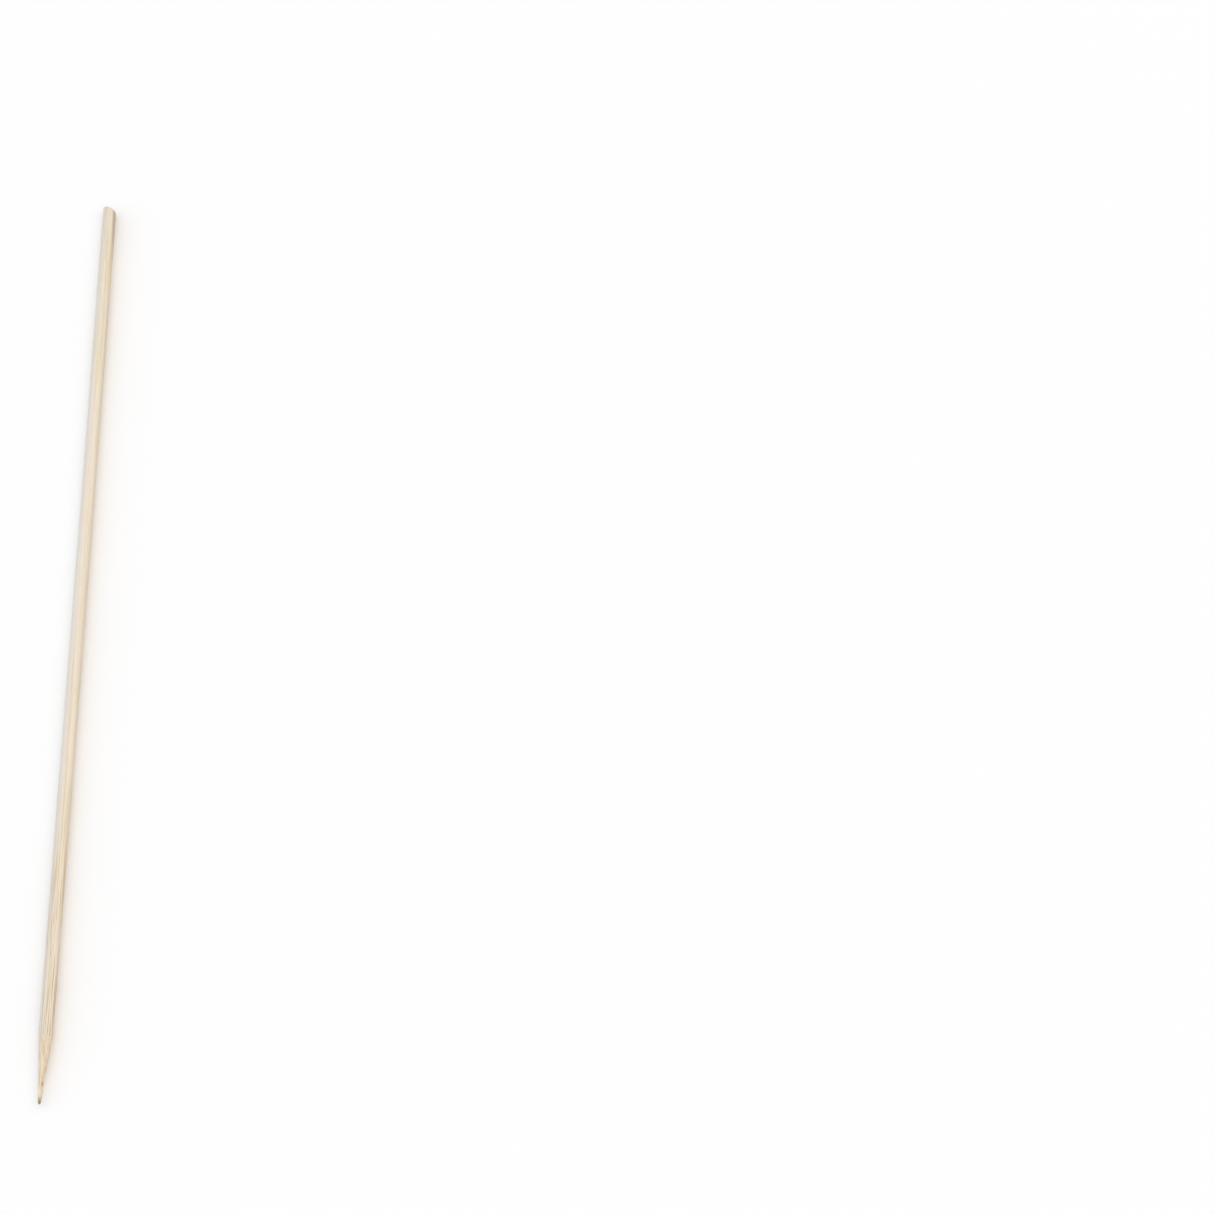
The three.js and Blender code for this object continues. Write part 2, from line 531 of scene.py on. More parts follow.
def rise(tree, title, value, span):
    """A mask that rises smoothly from 0 at the start of a span to 1 at its end."""
    limits = {"Value": value, "From Min": span[0], "From Max": span[1], "To Min": 0.0, "To Max": 1.0}
    return put(tree, "ShaderNodeMapRange", title, limits, interpolation_type="SMOOTHSTEP").outputs["Result"]


def between(tree, title, mask, at_none, at_full):
    """A value that runs evenly from one number where a mask is 0 to another where it is 1."""
    limits = {"Value": mask, "From Min": 0.0, "From Max": 1.0, "To Min": at_none, "To Max": at_full}
    return put(tree, "ShaderNodeMapRange", title, limits).outputs["Result"]


print("value helpers ready")

# %% [markdown]
# ## Long grain
# Fibre looks the same wherever it is cut: very long one way and very fine the other two. So the pattern
# is a solid one, noise drawn out along the rod. On the side it gives lines, on the slanted cut of the
# point it gives long dashes, and on the sawn end dots, with no map to line up.

# %% Coordinates drawn out along the rod
FIBRE_SLANT = 0.003  # how far the fibres drift sideways for each length that they run
FIBRE_INPUTS = [
    ("Vector", VECTOR, None), ("Length", FLOAT, 0.02), ("Width", FLOAT, 0.0003),
    ("Slant", FLOAT, FIBRE_SLANT),
]
STAGGER_SCALE = 0.45


def drawn_out(tree, given, stagger=0.0):
    """Coordinates counted in fibre lengths along the rod and in fibre widths across it."""
    length, width = given.outputs["Length"], given.outputs["Width"]
    parts = put(tree, "ShaderNodeSeparateXYZ", "along, across, up", {"Vector": given.outputs["Vector"]})
    drift = times(tree, "fibres run a little askew", parts.outputs["X"], given.outputs["Slant"])
    across = arithmetic(tree, "across, askew", "SUBTRACT", parts.outputs["Y"], drift)
    x = arithmetic(tree, "along, in lengths", "DIVIDE", parts.outputs["X"], length)
    y = arithmetic(tree, "across, in widths", "DIVIDE", across, width)
    z = arithmetic(tree, "up, in widths", "DIVIDE", parts.outputs["Z"], width)
    flat = put(tree, "ShaderNodeCombineXYZ", "across only", {"Y": y, "Z": z}).outputs["Vector"]
    stagger_inputs = {"Vector": flat, "Scale": STAGGER_SCALE, "Detail": 0.0}
    noise = put(tree, "ShaderNodeTexNoise", "stagger noise", stagger_inputs)
    shift = times(tree, "stagger", noise.outputs["Fac"], stagger)
    shifted = arithmetic(tree, "along, staggered", "ADD", x, shift)
    return put(tree, "ShaderNodeCombineXYZ", "in fibres", {"X": shifted, "Y": y, "Z": z}).outputs["Vector"]


print("fibres drift by", FIBRE_SLANT, "of their length")


# %% A group for grain
def make_long_grain():
    """Soft noise drawn out along the rod, spread to run from 0 to 1."""
    inputs = [*FIBRE_INPUTS, ("Contrast", FLOAT, 1.0)]
    group, given, result = start_group("long_grain", inputs, [("Grain", FLOAT)])
    noise_inputs = {"Vector": drawn_out(group, given), "Scale": 1.0, "Detail": 2.0, "Roughness": 0.55}
    noise = put(group, "ShaderNodeTexNoise", "fibre noise", noise_inputs)
    centred = arithmetic(group, "about zero", "SUBTRACT", noise.outputs["Fac"], 0.5)
    spread = times(group, "spread", centred, given.outputs["Contrast"])
    lifted = arithmetic(group, "back to 0 to 1", "ADD", spread, 0.5, use_clamp=True)
    hand_out(group, result, Grain=lifted)
    return group


long_grain = make_long_grain()


def grain(tree, title, here, length, width, contrast, slant=FIBRE_SLANT):
    """Places the long grain, with the length and the width of its fibres in millimetres."""
    inputs = {"Vector": here, "Length": length * MM, "Width": width * MM, "Slant": slant}
    return place_group(tree, long_grain, title, {**inputs, "Contrast": contrast}).outputs["Grain"]


print("group:", long_grain.name)

# %% [markdown]
# ## Strands
# Bamboo's hard strands are bundles of fibre a few tenths of a millimetre thick. Cells of a Voronoi
# pattern, drawn out along the rod, stand for them. Each cell's own random colour gives its strand a tone,
# and a rare few turn into short brown flecks. Slow noise shifts neighbours lengthwise, so that they
# don't all begin in line.

# %% A group for the strands of fibre
STAGGER = 6.0  # the most that one strand starts ahead of another, in strand lengths
CORE_EDGE = 0.12  # in strand widths from the middle, where a strand is full


def make_strands():
    """Separate strands: a mask that is 1 in a strand's core, and a random tone for each strand."""
    inputs = [*FIBRE_INPUTS, ("Core", FLOAT, 0.42)]
    group, given, result = start_group("strands", inputs, [("Strand", FLOAT), ("Tone", FLOAT)])
    cell_inputs = {"Vector": drawn_out(group, given, STAGGER), "Scale": 1.0, "Randomness": 0.85}
    cells = put(group, "ShaderNodeTexVoronoi", "strand cells", cell_inputs)
    core = rise(group, "core of the strand", cells.outputs["Distance"], (given.outputs["Core"], CORE_EDGE))
    tone = put(group, "ShaderNodeSeparateColor", "tone of the strand", {"Color": cells.outputs["Color"]})
    hand_out(group, result, Strand=core, Tone=tone.outputs["Red"])
    return group


strands = make_strands()


def strand_pattern(tree, title, here, length, width, core):
    """Places the strands, with their length and width in millimetres; gives their mask and tone."""
    inputs = {"Vector": here, "Length": length * MM, "Width": width * MM, "Slant": FIBRE_SLANT, "Core": core}
    placed = place_group(tree, strands, title, inputs)
    return placed.outputs["Strand"], placed.outputs["Tone"]


print("group:", strands.name)

# %% [markdown]
# ## A single mark
# Some marks belong to one place: a fibre that took a stain, a speck in the point, the dark tip. A soft
# ellipsoid around a centre gives each its own mask, ragged by the fibres around it.

# %% A group for one soft mark at a place
MARK_INPUTS = [
    ("Vector", VECTOR, None), ("Centre", VECTOR, None), ("Half Sizes", VECTOR, None),
    ("Softness", FLOAT, 0.5), ("Raggedness", FLOAT, 0.0),
]


def make_mark():
    """A mask that is 1 at a centre and fades to 0 at the half sizes."""
    group, given, result = start_group("single_mark", MARK_INPUTS, [("Mark", FLOAT)])
    gap = {0: given.outputs["Vector"], 1: given.outputs["Centre"]}
    apart = put(group, "ShaderNodeVectorMath", "from the centre", gap, operation="SUBTRACT")
    ratio = {0: apart.outputs[0], 1: given.outputs["Half Sizes"]}
    scaled = put(group, "ShaderNodeVectorMath", "in half sizes", ratio, operation="DIVIDE")
    reach = put(group, "ShaderNodeVectorMath", "how far out", {0: scaled.outputs[0]}, operation="LENGTH")
    ragged = arithmetic(group, "ragged edge", "ADD", reach.outputs["Value"], given.outputs["Raggedness"])
    inner = arithmetic(group, "where it is full", "SUBTRACT", 1.0, given.outputs["Softness"])
    hand_out(group, result, Mark=rise(group, "fade out", ragged, (1.0, inner)))
    return group


single_mark = make_mark()


def mark(tree, title, here, centre, half_sizes, softness, raggedness=0.0):
    """Places a single mark, with its centre and its half sizes in millimetres."""
    inputs = {"Vector": here, "Softness": softness, "Raggedness": raggedness}
    sizes = {"Centre": [v * MM for v in centre], "Half Sizes": [v * MM for v in half_sizes]}
    return place_group(tree, single_mark, title, {**inputs, **sizes}).outputs["Mark"]


print("group:", single_mark.name)

# %% [markdown]
# ## The colour of bare bamboo
# Bare bamboo is pale straw, and its fibres are tan. The colours are written as they look on a screen, to
# compare them with a photograph. Most of the painting repeats one step: a tint laid over what is there,
# through a mask and at a strength.

# %% Bamboo colours
def straw(red, green, blue):
    """A colour given as it looks on a screen, 0 to 255, turned into the light that it stands for."""
    def to_light(value):
        value = value / 255
        return value / 12.92 if value <= 0.04045 else ((value + 0.055) / 1.055) ** 2.4
    return (to_light(red), to_light(green), to_light(blue), 1.0)


PALE = straw(238, 226, 210)
PINK_BAND = straw(237, 222, 208)
YELLOW_BAND = straw(236, 223, 197)
GREEN_BAND = straw(230, 222, 197)
TAN_STRAND = straw(216, 190, 150)
DEEP_STRAND = straw(196, 160, 112)
FLECK = straw(150, 108, 66)
FRESHLY_GROUND = straw(243, 221, 192)
BURNISHED = straw(206, 166, 114)
TIP_STAIN = straw(142, 136, 104)
RUBBED_END = straw(206, 182, 146)
GREY_RIM = straw(168, 160, 138)
# Painted light and shade across the rod: a cool shade on one side, a highlight past the top, a warm shade by
# the far edge.
PAINTED_COOL_SHADE = straw(212, 208, 201)
PAINTED_HIGHLIGHT = straw(252, 240, 215)
PAINTED_EDGE_SHADE = straw(222, 196, 150)
DARK_BUTT_EDGE = straw(170, 158, 134)
print("pale straw in light:", [round(v, 2) for v in PALE[:3]])

# %% Mixing colours
MIX_SHARE, MIX_FIRST, MIX_SECOND = 0, 6, 7  # the colour inputs of Blender's Mix node
MIX_RESULT = 2


def blend(tree, title, share, first, second):
    """Mixes two colours by a share."""
    inputs = {MIX_SHARE: share, MIX_FIRST: first, MIX_SECOND: second}
    return put(tree, "ShaderNodeMix", title, inputs, data_type="RGBA").outputs[MIX_RESULT]


def tint(tree, title, under, colour, mask, strength=1.0):
    """Lays a colour over another one where a mask is, at a strength."""
    return blend(tree, title, times(tree, title + " strength", mask, strength), under, colour)


print("colour helpers ready")

# %% [markdown]
# ### Bands, and painted light and shade
# Broad bands drift towards pink, yellow and green. Over them, light and shade are painted across the rod:
# a greyer painted shade on the side towards the cool window lamp, then a painted highlight just past the
# top, and a darker honey-coloured painted shade by the far edge. They follow the place across the rod.

# %% Broad bands and the two sides
# Where the painted shade and the painted highlight lie across the rod.
COOL_SHADE_SPAN = (0.2 * MM, -1.5 * MM)  # across the rod: where a tint begins, and where it is full
HIGHLIGHT_SPAN = (0.1 * MM, 0.8 * MM)
HIGHLIGHT_END_SPAN = (1.8 * MM, 1.2 * MM)
EDGE_SHADE_SPAN = (1.1 * MM, 1.9 * MM)


def band_tints(tree, here):
    """Pale straw with its broad bands."""
    broad = grain(tree, "pink and yellow bands", here, length=17, width=2.6, contrast=2.6, slant=0.0)
    second = grain(tree, "green bands", here, length=31, width=1.6, contrast=2.8, slant=0.004)
    colour = tint(tree, "pink", PALE, PINK_BAND, rise(tree, "pink where low", broad, (0.45, 0.1)))
    colour = tint(tree, "yellow", colour, YELLOW_BAND, rise(tree, "yellow where high", broad, (0.5, 0.95)))
    return tint(tree, "green", colour, GREEN_BAND, rise(tree, "green where high", second, (0.62, 1.0)))


def painted_side_light(tree, across, colour):
    """Light and shade painted across the rod, from one side to the other: a cool shade, a highlight, a warm
    edge shade.
    """
    grey = rise(tree, "painted cool shade's place", across, COOL_SHADE_SPAN)
    colour = tint(tree, "painted cool shade", colour, PAINTED_COOL_SHADE, grey, strength=0.45)
    begun = rise(tree, "right of the top", across, HIGHLIGHT_SPAN)
    ended = rise(tree, "short of the edge", across, HIGHLIGHT_END_SPAN)
    light = times(tree, "painted highlight's stretch", begun, ended)
    colour = tint(tree, "painted highlight", colour, PAINTED_HIGHLIGHT, light, strength=0.45)
    honey = rise(tree, "painted edge shade's place", across, EDGE_SHADE_SPAN)
    return tint(tree, "painted edge shade", colour, PAINTED_EDGE_SHADE, honey, strength=0.15)


print("painted cool shade to edge shade:", COOL_SHADE_SPAN[1] / MM, "to", EDGE_SHADE_SPAN[1] / MM, "mm across")

# %% [markdown]
# ### Streaks towards the ends
# In the drum the rods rub each other most with their ends, which darkens them there in streaks. The
# mask is grain once more, let in slowly towards the point and more weakly towards the butt.

# %% Streaks towards the ends
POINT_STREAKS = (35 * MM, 100 * MM)  # along the rod: where they begin, and where they are full
BUTT_STREAKS = (-60 * MM, -125 * MM)
BUTT_STREAK_SHARE = 0.4  # of the strength that they have by the point


def end_streaks(tree, here, along):
    """A mask of streaks that thicken towards both ends."""
    streaks = grain(tree, "end streaks", here, length=18, width=0.29, contrast=3.2)
    high = rise(tree, "streaks where high", streaks, (0.45, 0.85))
    by_point = rise(tree, "towards the point", along, POINT_STREAKS)
    by_butt = rise(tree, "towards the butt", along, BUTT_STREAKS)
    by_butt = times(tree, "weaker by the butt", by_butt, BUTT_STREAK_SHARE)
    ends = arithmetic(tree, "rubbed ends", "ADD", by_point, by_butt)
    return times(tree, "in streaks", ends, high)


print("streaks from", POINT_STREAKS[0] / MM, "mm and from", BUTT_STREAKS[0] / MM, "mm")

# %% [markdown]
# ### The substance
# Strands show as tan lines, some deeper, with fine hairs, short dashes and rare brown flecks. Every
# surface of the skewer shows this same stuff, cut another way. So one group mixes it, and each finish
# sets how strongly the strands show.

# %% A group for the substance itself
def make_substance():
    """Bamboo's colour with light and shade painted across the rod, a height that is 1 on the hard strands,
    and the mask of those strands.
    """
    inputs = [("Vector", VECTOR, None), ("Strand Contrast", FLOAT, 0.5), ("Fleck Amount", FLOAT, 0.6)]
    outputs = [("Color", COLOUR), ("Height", FLOAT), ("Strand", FLOAT)]
    group, given, result = start_group("bamboo_substance", inputs, outputs)
    here = given.outputs["Vector"]
    contrast = given.outputs["Strand Contrast"]
    parts = put(group, "ShaderNodeSeparateXYZ", "along and across", {"Vector": here})
    # Light and shade painted across the rod go over the bands, on every surface.
    colour = painted_side_light(group, parts.outputs["Y"], band_tints(group, here))

    strand, strand_tone = strand_pattern(group, "strands", here, length=70, width=0.46, core=0.44)
    strong = times(group, "strong strands only", strand, strand_tone)
    tone = times(group, "strand contrast", strong, contrast)
    colour = tint(group, "tan strands", colour, TAN_STRAND, tone)
    lines = grain(group, "fine lines", here, length=45, width=0.3, contrast=2.4)
    lines = rise(group, "tan where high", lines, (0.55, 1.0))
    colour = tint(group, "tan lines", colour, TAN_STRAND, lines, strength=contrast)
    darkest = rise(group, "darkest strands", tone, (0.42, 0.8))
    colour = tint(group, "deep strands", colour, DEEP_STRAND, darkest, strength=0.5)
    hair = grain(group, "hairs", here, length=12, width=0.09, contrast=1.8)
    hairs = rise(group, "hair where high", hair, (0.5, 1.0))
    colour = tint(group, "hair lines", colour, TAN_STRAND, hairs, strength=0.3)

    dash, dash_tone = strand_pattern(group, "dash cells", here, length=2.8, width=0.14, core=0.4)
    dashes = times(group, "some of the dashes", rise(group, "some", dash_tone, (0.7, 1.0)), dash)
    colour = tint(group, "short dashes", colour, DEEP_STRAND, dashes, strength=0.5)
    streaks = end_streaks(group, here, parts.outputs["X"])
    colour = tint(group, "ends", colour, RUBBED_END, streaks)
    fleck, fleck_tone = strand_pattern(group, "fleck cells", here, length=4.2, width=0.24, core=0.3)
    flecks = times(group, "a rare few flecks", rise(group, "a rare few", fleck_tone, (0.985, 0.995)), fleck)
    colour = tint(group, "flecks", colour, FLECK, flecks, strength=given.outputs["Fleck Amount"])

    height = times(group, "halved", arithmetic(group, "strands and hairs", "ADD", hair, strand), 0.5)
    hand_out(group, result, Color=colour, Height=height, Strand=strand)
    return group


bamboo_substance = make_substance()
print("group:", bamboo_substance.name, "with", len(bamboo_substance.nodes), "nodes")

# %% [markdown]
# ## Three finishes of one stuff
# The shaft is tumbled and a little glossy. The point is ground across its strands, so they show more, and
# it is rougher. The sawn end is raw. Each finish places the same groups with its own values, and keeps
# its own shader. By the far corner of the saw cut the colour goes darker grey-brown along the edge, and
# this runs over the edge of the cut, so two of the finishes show it.

# %% Start and end of a finish
TUMBLED_CONTRAST = 0.45
FRESH_CONTRAST = 0.95  # where the strands are newly cut
WAXED = (0.62, 0.5)  # roughness of the soft tissue and of the hard strands
RAW = (0.76, 0.62)
RELIEF_STRENGTH = 0.5
RELIEF_HEIGHT = 0.02 * MM


def start_finish(name, flecks):
    """A new material with the bamboo substance in it and a bare shader."""
    material = bpy.data.materials.new(name)
    tree = empty_tree(material)
    here = put(tree, "ShaderNodeTexCoord", "place in the skewer").outputs["Object"]
    amounts = {"Vector": here, "Strand Contrast": TUMBLED_CONTRAST, "Fleck Amount": flecks}
    stuff = place_group(tree, bamboo_substance, "bare bamboo", amounts)
    shader = put(tree, "ShaderNodeBsdfPrincipled", name)
    put(tree, "ShaderNodeOutputMaterial", "surface", {"Surface": shader.outputs[0]})
    return material, tree, here, stuff, shader


def end_finish(tree, shader, colour, roughness, height):
    """Joins the colour, roughness and relief to the shader."""
    bump = {"Height": height, "Strength": RELIEF_STRENGTH, "Distance": RELIEF_HEIGHT}
    relief = put(tree, "ShaderNodeBump", "relief", bump)
    tree.links.new(colour, shader.inputs["Base Color"])
    tree.links.new(roughness, shader.inputs["Roughness"])
    tree.links.new(relief.outputs["Normal"], shader.inputs["Normal"])


def contrast_by(tree, stuff, mask):
    """Shows the strands as strongly as on fresh bamboo where the mask is 1."""
    contrast = between(tree, "strand contrast", mask, TUMBLED_CONTRAST, FRESH_CONTRAST)
    tree.links.new(contrast, stuff.inputs["Strand Contrast"])


print("finish helpers ready")

# %% A darker edge by the butt
DARK_EDGE_CENTRE = (BUTT[0], 1.95, 2.5)
DARK_EDGE_HALF_SIZES = (28, 1.7, 2.3)


def darken_butt_edge(tree, here, colour):
    """Darkens the colour grey-brown along the edge by the far corner of the saw cut."""
    fray = grain(tree, "frayed along", here, length=12, width=0.4, contrast=2.0)
    ragged = times(tree, "fray strength", fray, 0.3)
    place = (DARK_EDGE_CENTRE, DARK_EDGE_HALF_SIZES)
    strand = mark(tree, "darker edge's place", here, *place, softness=0.5, raggedness=ragged)
    return tint(tree, "darker by the edge", colour, DARK_BUTT_EDGE, strand, strength=0.6)


print("darker over", DARK_EDGE_HALF_SIZES[0], "mm from the butt")

# %% [markdown]
# ### The tumbled shaft
# Tumbling with wax burnishes the hard strands more than the soft tissue. One strand on this skewer took
# a stain: a short yellow line with a brown rim, on the right of its upper side.

# %% Shaft finish
STAIN_CENTRE = (21.4, 1.0, 3.45)
STAIN_RIM = (3.4, 0.4, 0.6)
STAIN_HEART = (2.9, 0.24, 0.6)
CLEARER_SPAN = (60 * MM, 120 * MM)  # along the rod, where the strands grow clearer towards the point


def make_shaft_finish():
    """Tumbled bamboo, with the one stained strand."""
    material, tree, here, stuff, shader = start_finish("bamboo_shaft", flecks=0.5)
    parts = put(tree, "ShaderNodeSeparateXYZ", "along the rod", {"Vector": here})
    contrast_by(tree, stuff, rise(tree, "towards the point", parts.outputs["X"], CLEARER_SPAN))
    fray = grain(tree, "frayed by fibres", here, length=3, width=0.12, contrast=2.0)
    rim = mark(tree, "stain rim", here, STAIN_CENTRE, STAIN_RIM, softness=0.6, raggedness=fray)
    heart = mark(tree, "stain heart", here, STAIN_CENTRE, STAIN_HEART, softness=0.8, raggedness=fray)
    colour = tint(tree, "brown rim", stuff.outputs["Color"], DEEP_STRAND, rim, strength=0.45)
    colour = tint(tree, "yellow heart", colour, YELLOW_BAND, heart)
    colour = darken_butt_edge(tree, here, colour)
    roughness = between(tree, "roughness", stuff.outputs["Strand"], *WAXED)
    end_finish(tree, shader, colour, roughness, stuff.outputs["Height"])
    return material


shaft_finish = make_shaft_finish()
print("finish:", shaft_finish.name)

# %% [markdown]
# ### The ground point
# Grinding cuts the strands at a slant, so they come out as long dashes of tan. The wheel leaves fine
# rings of scratches around the cone, burnishes it in patches, and stains the last few millimetres
# grey-brown. Two brown specks lie along the top.

# %% Point finish
SHOULDER = (129.2 * MM, 134.0 * MM)  # from where the wheel just touched the rod to where it cut well in
TIP_CENTRE = (TIP[0], TIP[1], AXIS_HEIGHT)
TIP_HALF_SIZES = (3.6, 3.0, 3.0)
BROWN_SPECK = ((134.1, 0.1, 3.0), (1.3, 0.22, 0.5))  # centre and half sizes
DARK_SPECK = ((144.6, 0.1, 2.5), (1.1, 0.2, 0.5))


def make_point_finish():
    """Ground bamboo, darker at its specks and its tip."""
    material, tree, here, stuff, shader = start_finish("bamboo_ground_point", flecks=0.5)
    stuff.inputs["Strand Contrast"].default_value = FRESH_CONTRAST
    parts = put(tree, "ShaderNodeSeparateXYZ", "along the rod", {"Vector": here})
    ground = rise(tree, "ground deeper", parts.outputs["X"], SHOULDER)
    colour = tint(tree, "freshly ground", stuff.outputs["Color"], FRESHLY_GROUND, ground, strength=0.4)
    patches = grain(tree, "patchy burnish", here, length=8, width=0.4, contrast=2.8, slant=0.0)
    burnish = rise(tree, "burnished where high", patches, (0.5, 0.9))
    burnish = times(tree, "burnished beyond the shoulder", burnish, ground)
    colour = tint(tree, "burnished", colour, BURNISHED, burnish, strength=0.42)
    brown = mark(tree, "brown speck's place", here, *BROWN_SPECK, softness=0.6)
    colour = tint(tree, "brown speck", colour, FLECK, brown, strength=0.6)
    dark = mark(tree, "dark speck's place", here, *DARK_SPECK, softness=0.6)
    colour = tint(tree, "dark speck", colour, FLECK, dark, strength=0.8)
    ragged = times(tree, "raggedness", patches, 0.5)
    stain = mark(tree, "end of the tip", here, TIP_CENTRE, TIP_HALF_SIZES, softness=0.75, raggedness=ragged)
    colour = tint(tree, "stained tip", colour, TIP_STAIN, stain)
    roughness = between(tree, "roughness", stuff.outputs["Strand"], *RAW)
    scratches = grain(tree, "grinding rings", here, length=0.12, width=4, contrast=1.6, slant=0.0)
    height = arithmetic(tree, "strands and scratches", "ADD", stuff.outputs["Height"], scratches)
    end_finish(tree, shader, colour, roughness, height)
    return material


point_finish = make_point_finish()
print("finish:", point_finish.name)

# %% [markdown]
# ### The sawn end
# End grain drinks up the light: it is darker and quite matt. The cut crosses the strands, which show as
# brown dots, and the saw leaves fine lines across them. Round the tumbled edge both fade, and a narrow
# rim goes darker grey.

# %% End-grain finish
FACE_CENTRE = (BUTT[0], BUTT[1], AXIS_HEIGHT)
RAW_FACE = (12, 1.7, 1.7)
WORN_EDGE = (12, 1.9, 1.9)
SAW_LINES = {"Scale": 350.0, "Distortion": 1.5, "Detail": 2.0, "Detail Scale": 400.0}
RAW_ROUGHER = 0.25  # how much is added to the roughness on the raw face


def make_sawn_finish():
    """Raw end grain with saw lines, and a darker grey rim."""
    material, tree, here, stuff, shader = start_finish("bamboo_end_grain", flecks=0.3)
    raw = mark(tree, "raw face", here, FACE_CENTRE, RAW_FACE, softness=0.3)
    worn = mark(tree, "worn edge", here, FACE_CENTRE, WORN_EDGE, softness=0.12)
    contrast_by(tree, stuff, raw)
    dot, _ = strand_pattern(tree, "strands end on", here, length=50, width=0.36, core=0.4)
    dots = times(tree, "dots on the face", dot, raw)
    colour = tint(tree, "cut strands", stuff.outputs["Color"], DEEP_STRAND, dots, strength=0.6)
    saw = put(tree, "ShaderNodeTexWave", "saw lines", {"Vector": here, **SAW_LINES}, bands_direction="Z")
    lines = times(tree, "lines on the face", saw.outputs["Fac"], raw)
    colour = tint(tree, "sawdust in the lines", colour, TAN_STRAND, lines, strength=0.2)
    rim = arithmetic(tree, "off the raw face", "SUBTRACT", worn, raw)
    colour = tint(tree, "darker grey rim", colour, GREY_RIM, rim, strength=0.6)
    colour = darken_butt_edge(tree, here, colour)
    worn_roughness = between(tree, "worn roughness", stuff.outputs["Strand"], *WAXED)
    roughness = arithmetic(tree, "rougher where raw", "MULTIPLY_ADD", raw, RAW_ROUGHER, worn_roughness)
    face_relief = arithmetic(tree, "strands and lines", "ADD", dot, saw.outputs["Fac"])
    height = arithmetic(tree, "face and edge", "MULTIPLY_ADD", face_relief, raw, stuff.outputs["Height"])
    end_finish(tree, shader, colour, roughness, height)
    return material


sawn_finish = make_sawn_finish()
print("finish:", sawn_finish.name)

# %% [markdown]
# ## Each face gets its finish
# The wheel's edge is where the cone cuts the section, which is a scalloped line, so the finish is chosen
# face by face. The skewer then takes the place of the plain solid.

# %% Finishes and place
SHAFT, POINT, SAWN = range(3)
for finish in (shaft_finish, point_finish, sawn_finish):
    skewer_mesh.materials.append(finish)

ring_finish = np.full((RING_COUNT - 1, AROUND), SHAFT)
ring_finish[:FACE_RINGS + EDGE_RINGS] = SAWN
ring_finish[-(len(side_x) - 1):][is_ground[1:]] = POINT
face_finish = np.concatenate([ring_finish.reshape(-1), np.full(AROUND, SAWN), np.full(AROUND, POINT)])
skewer_mesh.polygons.foreach_set("material_index", face_finish)
skewer_mesh.update()

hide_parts("skewer")
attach(skewer_rod, "root")
print("faces by finish:", np.bincount(face_finish).tolist())

# %% [markdown]
# ## The white sheet
# The skewer lies on a plain white sheet. Near the skewer it keeps the soft shadow, and further away it
# runs out into the white background.

# %% The sheet's finish
WHITE = (1.0, 1.0, 1.0, 1.0)
BOUNCE = (0.8, 0.8, 0.8, 1.0)  # what the paper throws back at the skewer
SHEET_FADE = (0.3, 0.6)  # metres from the skewer's middle


def make_sheet_finish():
    """White paper that keeps shadows near the skewer and fades to plain white further away."""
    material = bpy.data.materials.new("white_sheet")
    tree = empty_tree(material)
    where = put(tree, "ShaderNodeTexCoord", "place on the sheet").outputs["Object"]
    out = put(tree, "ShaderNodeVectorMath", "how far out", {0: where}, operation="LENGTH")
    far = rise(tree, "far away", out.outputs["Value"], SHEET_FADE)
    by_camera = put(tree, "ShaderNodeLightPath", "who looks").outputs["Is Camera Ray"]
    seen = times(tree, "far and seen", far, by_camera)
    paper_colour = blend(tree, "paper's colour", by_camera, BOUNCE, WHITE)
    paper = put(tree, "ShaderNodeBsdfDiffuse", "paper", {"Color": paper_colour}).outputs[0]
    glow = put(tree, "ShaderNodeEmission", "plain white", {"Color": WHITE, "Strength": 1.0}).outputs[0]
    mixed = put(tree, "ShaderNodeMixShader", "near and far", {0: seen, 1: paper, 2: glow}).outputs[0]
    put(tree, "ShaderNodeOutputMaterial", "surface", {"Surface": mixed})
    return material


sheet_finish = make_sheet_finish()
print("finish:", sheet_finish.name)

# %% The sheet
SHEET_HALF = 12.0
SHEET_DROP = 0.00001  # so that the sheet and the skewer's lower flat don't share a plane
SHEET_CORNERS = ((-1, -1), (1, -1), (1, 1), (-1, 1))
sheet_mesh = bpy.data.meshes.new("sheet")
corners = [(x * SHEET_HALF, y * SHEET_HALF, -SHEET_DROP) for x, y in SHEET_CORNERS]
sheet_mesh.from_pydata(corners, [], [(0, 1, 2, 3)])
sheet_mesh.materials.append(sheet_finish)
sheet = bpy.data.objects.new("sheet", sheet_mesh)
bpy.context.scene.collection.objects.link(sheet)
print("sheet:", 2 * SHEET_HALF, "m square")

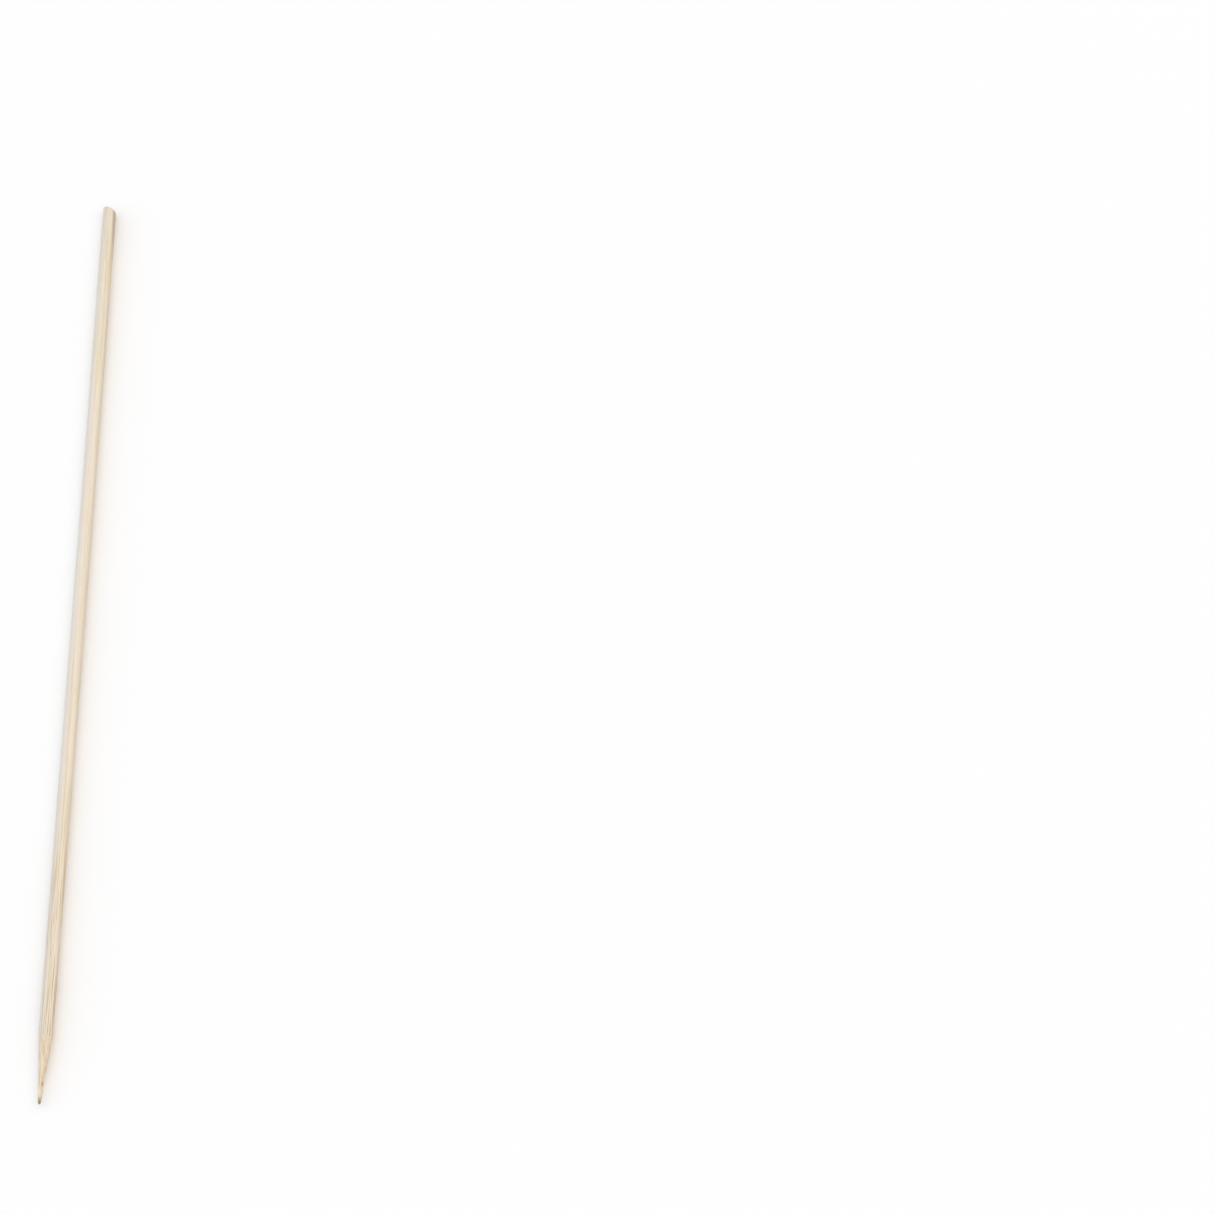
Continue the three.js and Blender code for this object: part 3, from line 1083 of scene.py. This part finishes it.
# %% [markdown]
# ## The light
# Even light from all round does most. A broad window, low on the left, adds a cool edge, and a broad
# lamp, high on the right, is warmer and stronger. Together their shares are a little over one, and their
# tints take that little away again, so a colour shows on level ground as it is written.

# %% The sky
SKY_SHARE = 0.71
SKY_COLOUR = (1.0, 0.985, 0.973, 1.0)


def make_sky():
    """Even light from all round, which looks plain white to the camera, in gloss and through glass."""
    world = bpy.data.worlds.new("studio")
    tree = empty_tree(world)
    ray = put(tree, "ShaderNodeLightPath", "who looks").outputs
    looked = arithmetic(tree, "or gloss", "MAXIMUM", ray["Is Camera Ray"], ray["Is Glossy Ray"])
    seen = arithmetic(tree, "or through", "MAXIMUM", looked, ray["Is Transmission Ray"])
    light = put(tree, "ShaderNodeBackground", "light", {"Color": SKY_COLOUR, "Strength": SKY_SHARE})
    white = put(tree, "ShaderNodeBackground", "background", {"Color": WHITE, "Strength": 1.0})
    mixed = put(tree, "ShaderNodeMixShader", "by ray", {0: seen, 1: light.outputs[0], 2: white.outputs[0]})
    put(tree, "ShaderNodeOutputWorld", "world", {"Surface": mixed.outputs[0]})
    return world


bpy.context.scene.world = make_sky()
print("sky:", SKY_SHARE, "of full light on level ground")

# %% The lamps
WINDOW_SHARE = 0.11
ROOM_SHARE = 0.22
WINDOW_COLOUR = (0.52, 0.73, 1.0)
ROOM_COLOUR = (1.0, 0.92, 0.82)
LAMP_SPREAD = 90  # degrees, as broad as a large window close by


def lamp(name, share, sideways, height, colour):
    """A broad far lamp that adds a share of full light on level ground, turned and raised in degrees."""
    data = bpy.data.lights.new(name, "SUN")
    data.energy = share * math.pi / math.sin(math.radians(height))
    data.angle = math.radians(LAMP_SPREAD)
    data.color = colour
    made = bpy.data.objects.new(name, data)
    made.rotation_euler = (0.0, math.radians(90 - height), math.radians(sideways))
    bpy.context.scene.collection.objects.link(made)


lamp("window", WINDOW_SHARE, sideways=-90, height=20, colour=WINDOW_COLOUR)
lamp("room", ROOM_SHARE, sideways=60, height=77, colour=ROOM_COLOUR)
bpy.context.scene.view_settings.view_transform = "Standard"
print("shares of the light add up to", round(SKY_SHARE + WINDOW_SHARE + ROOM_SHARE, 2))
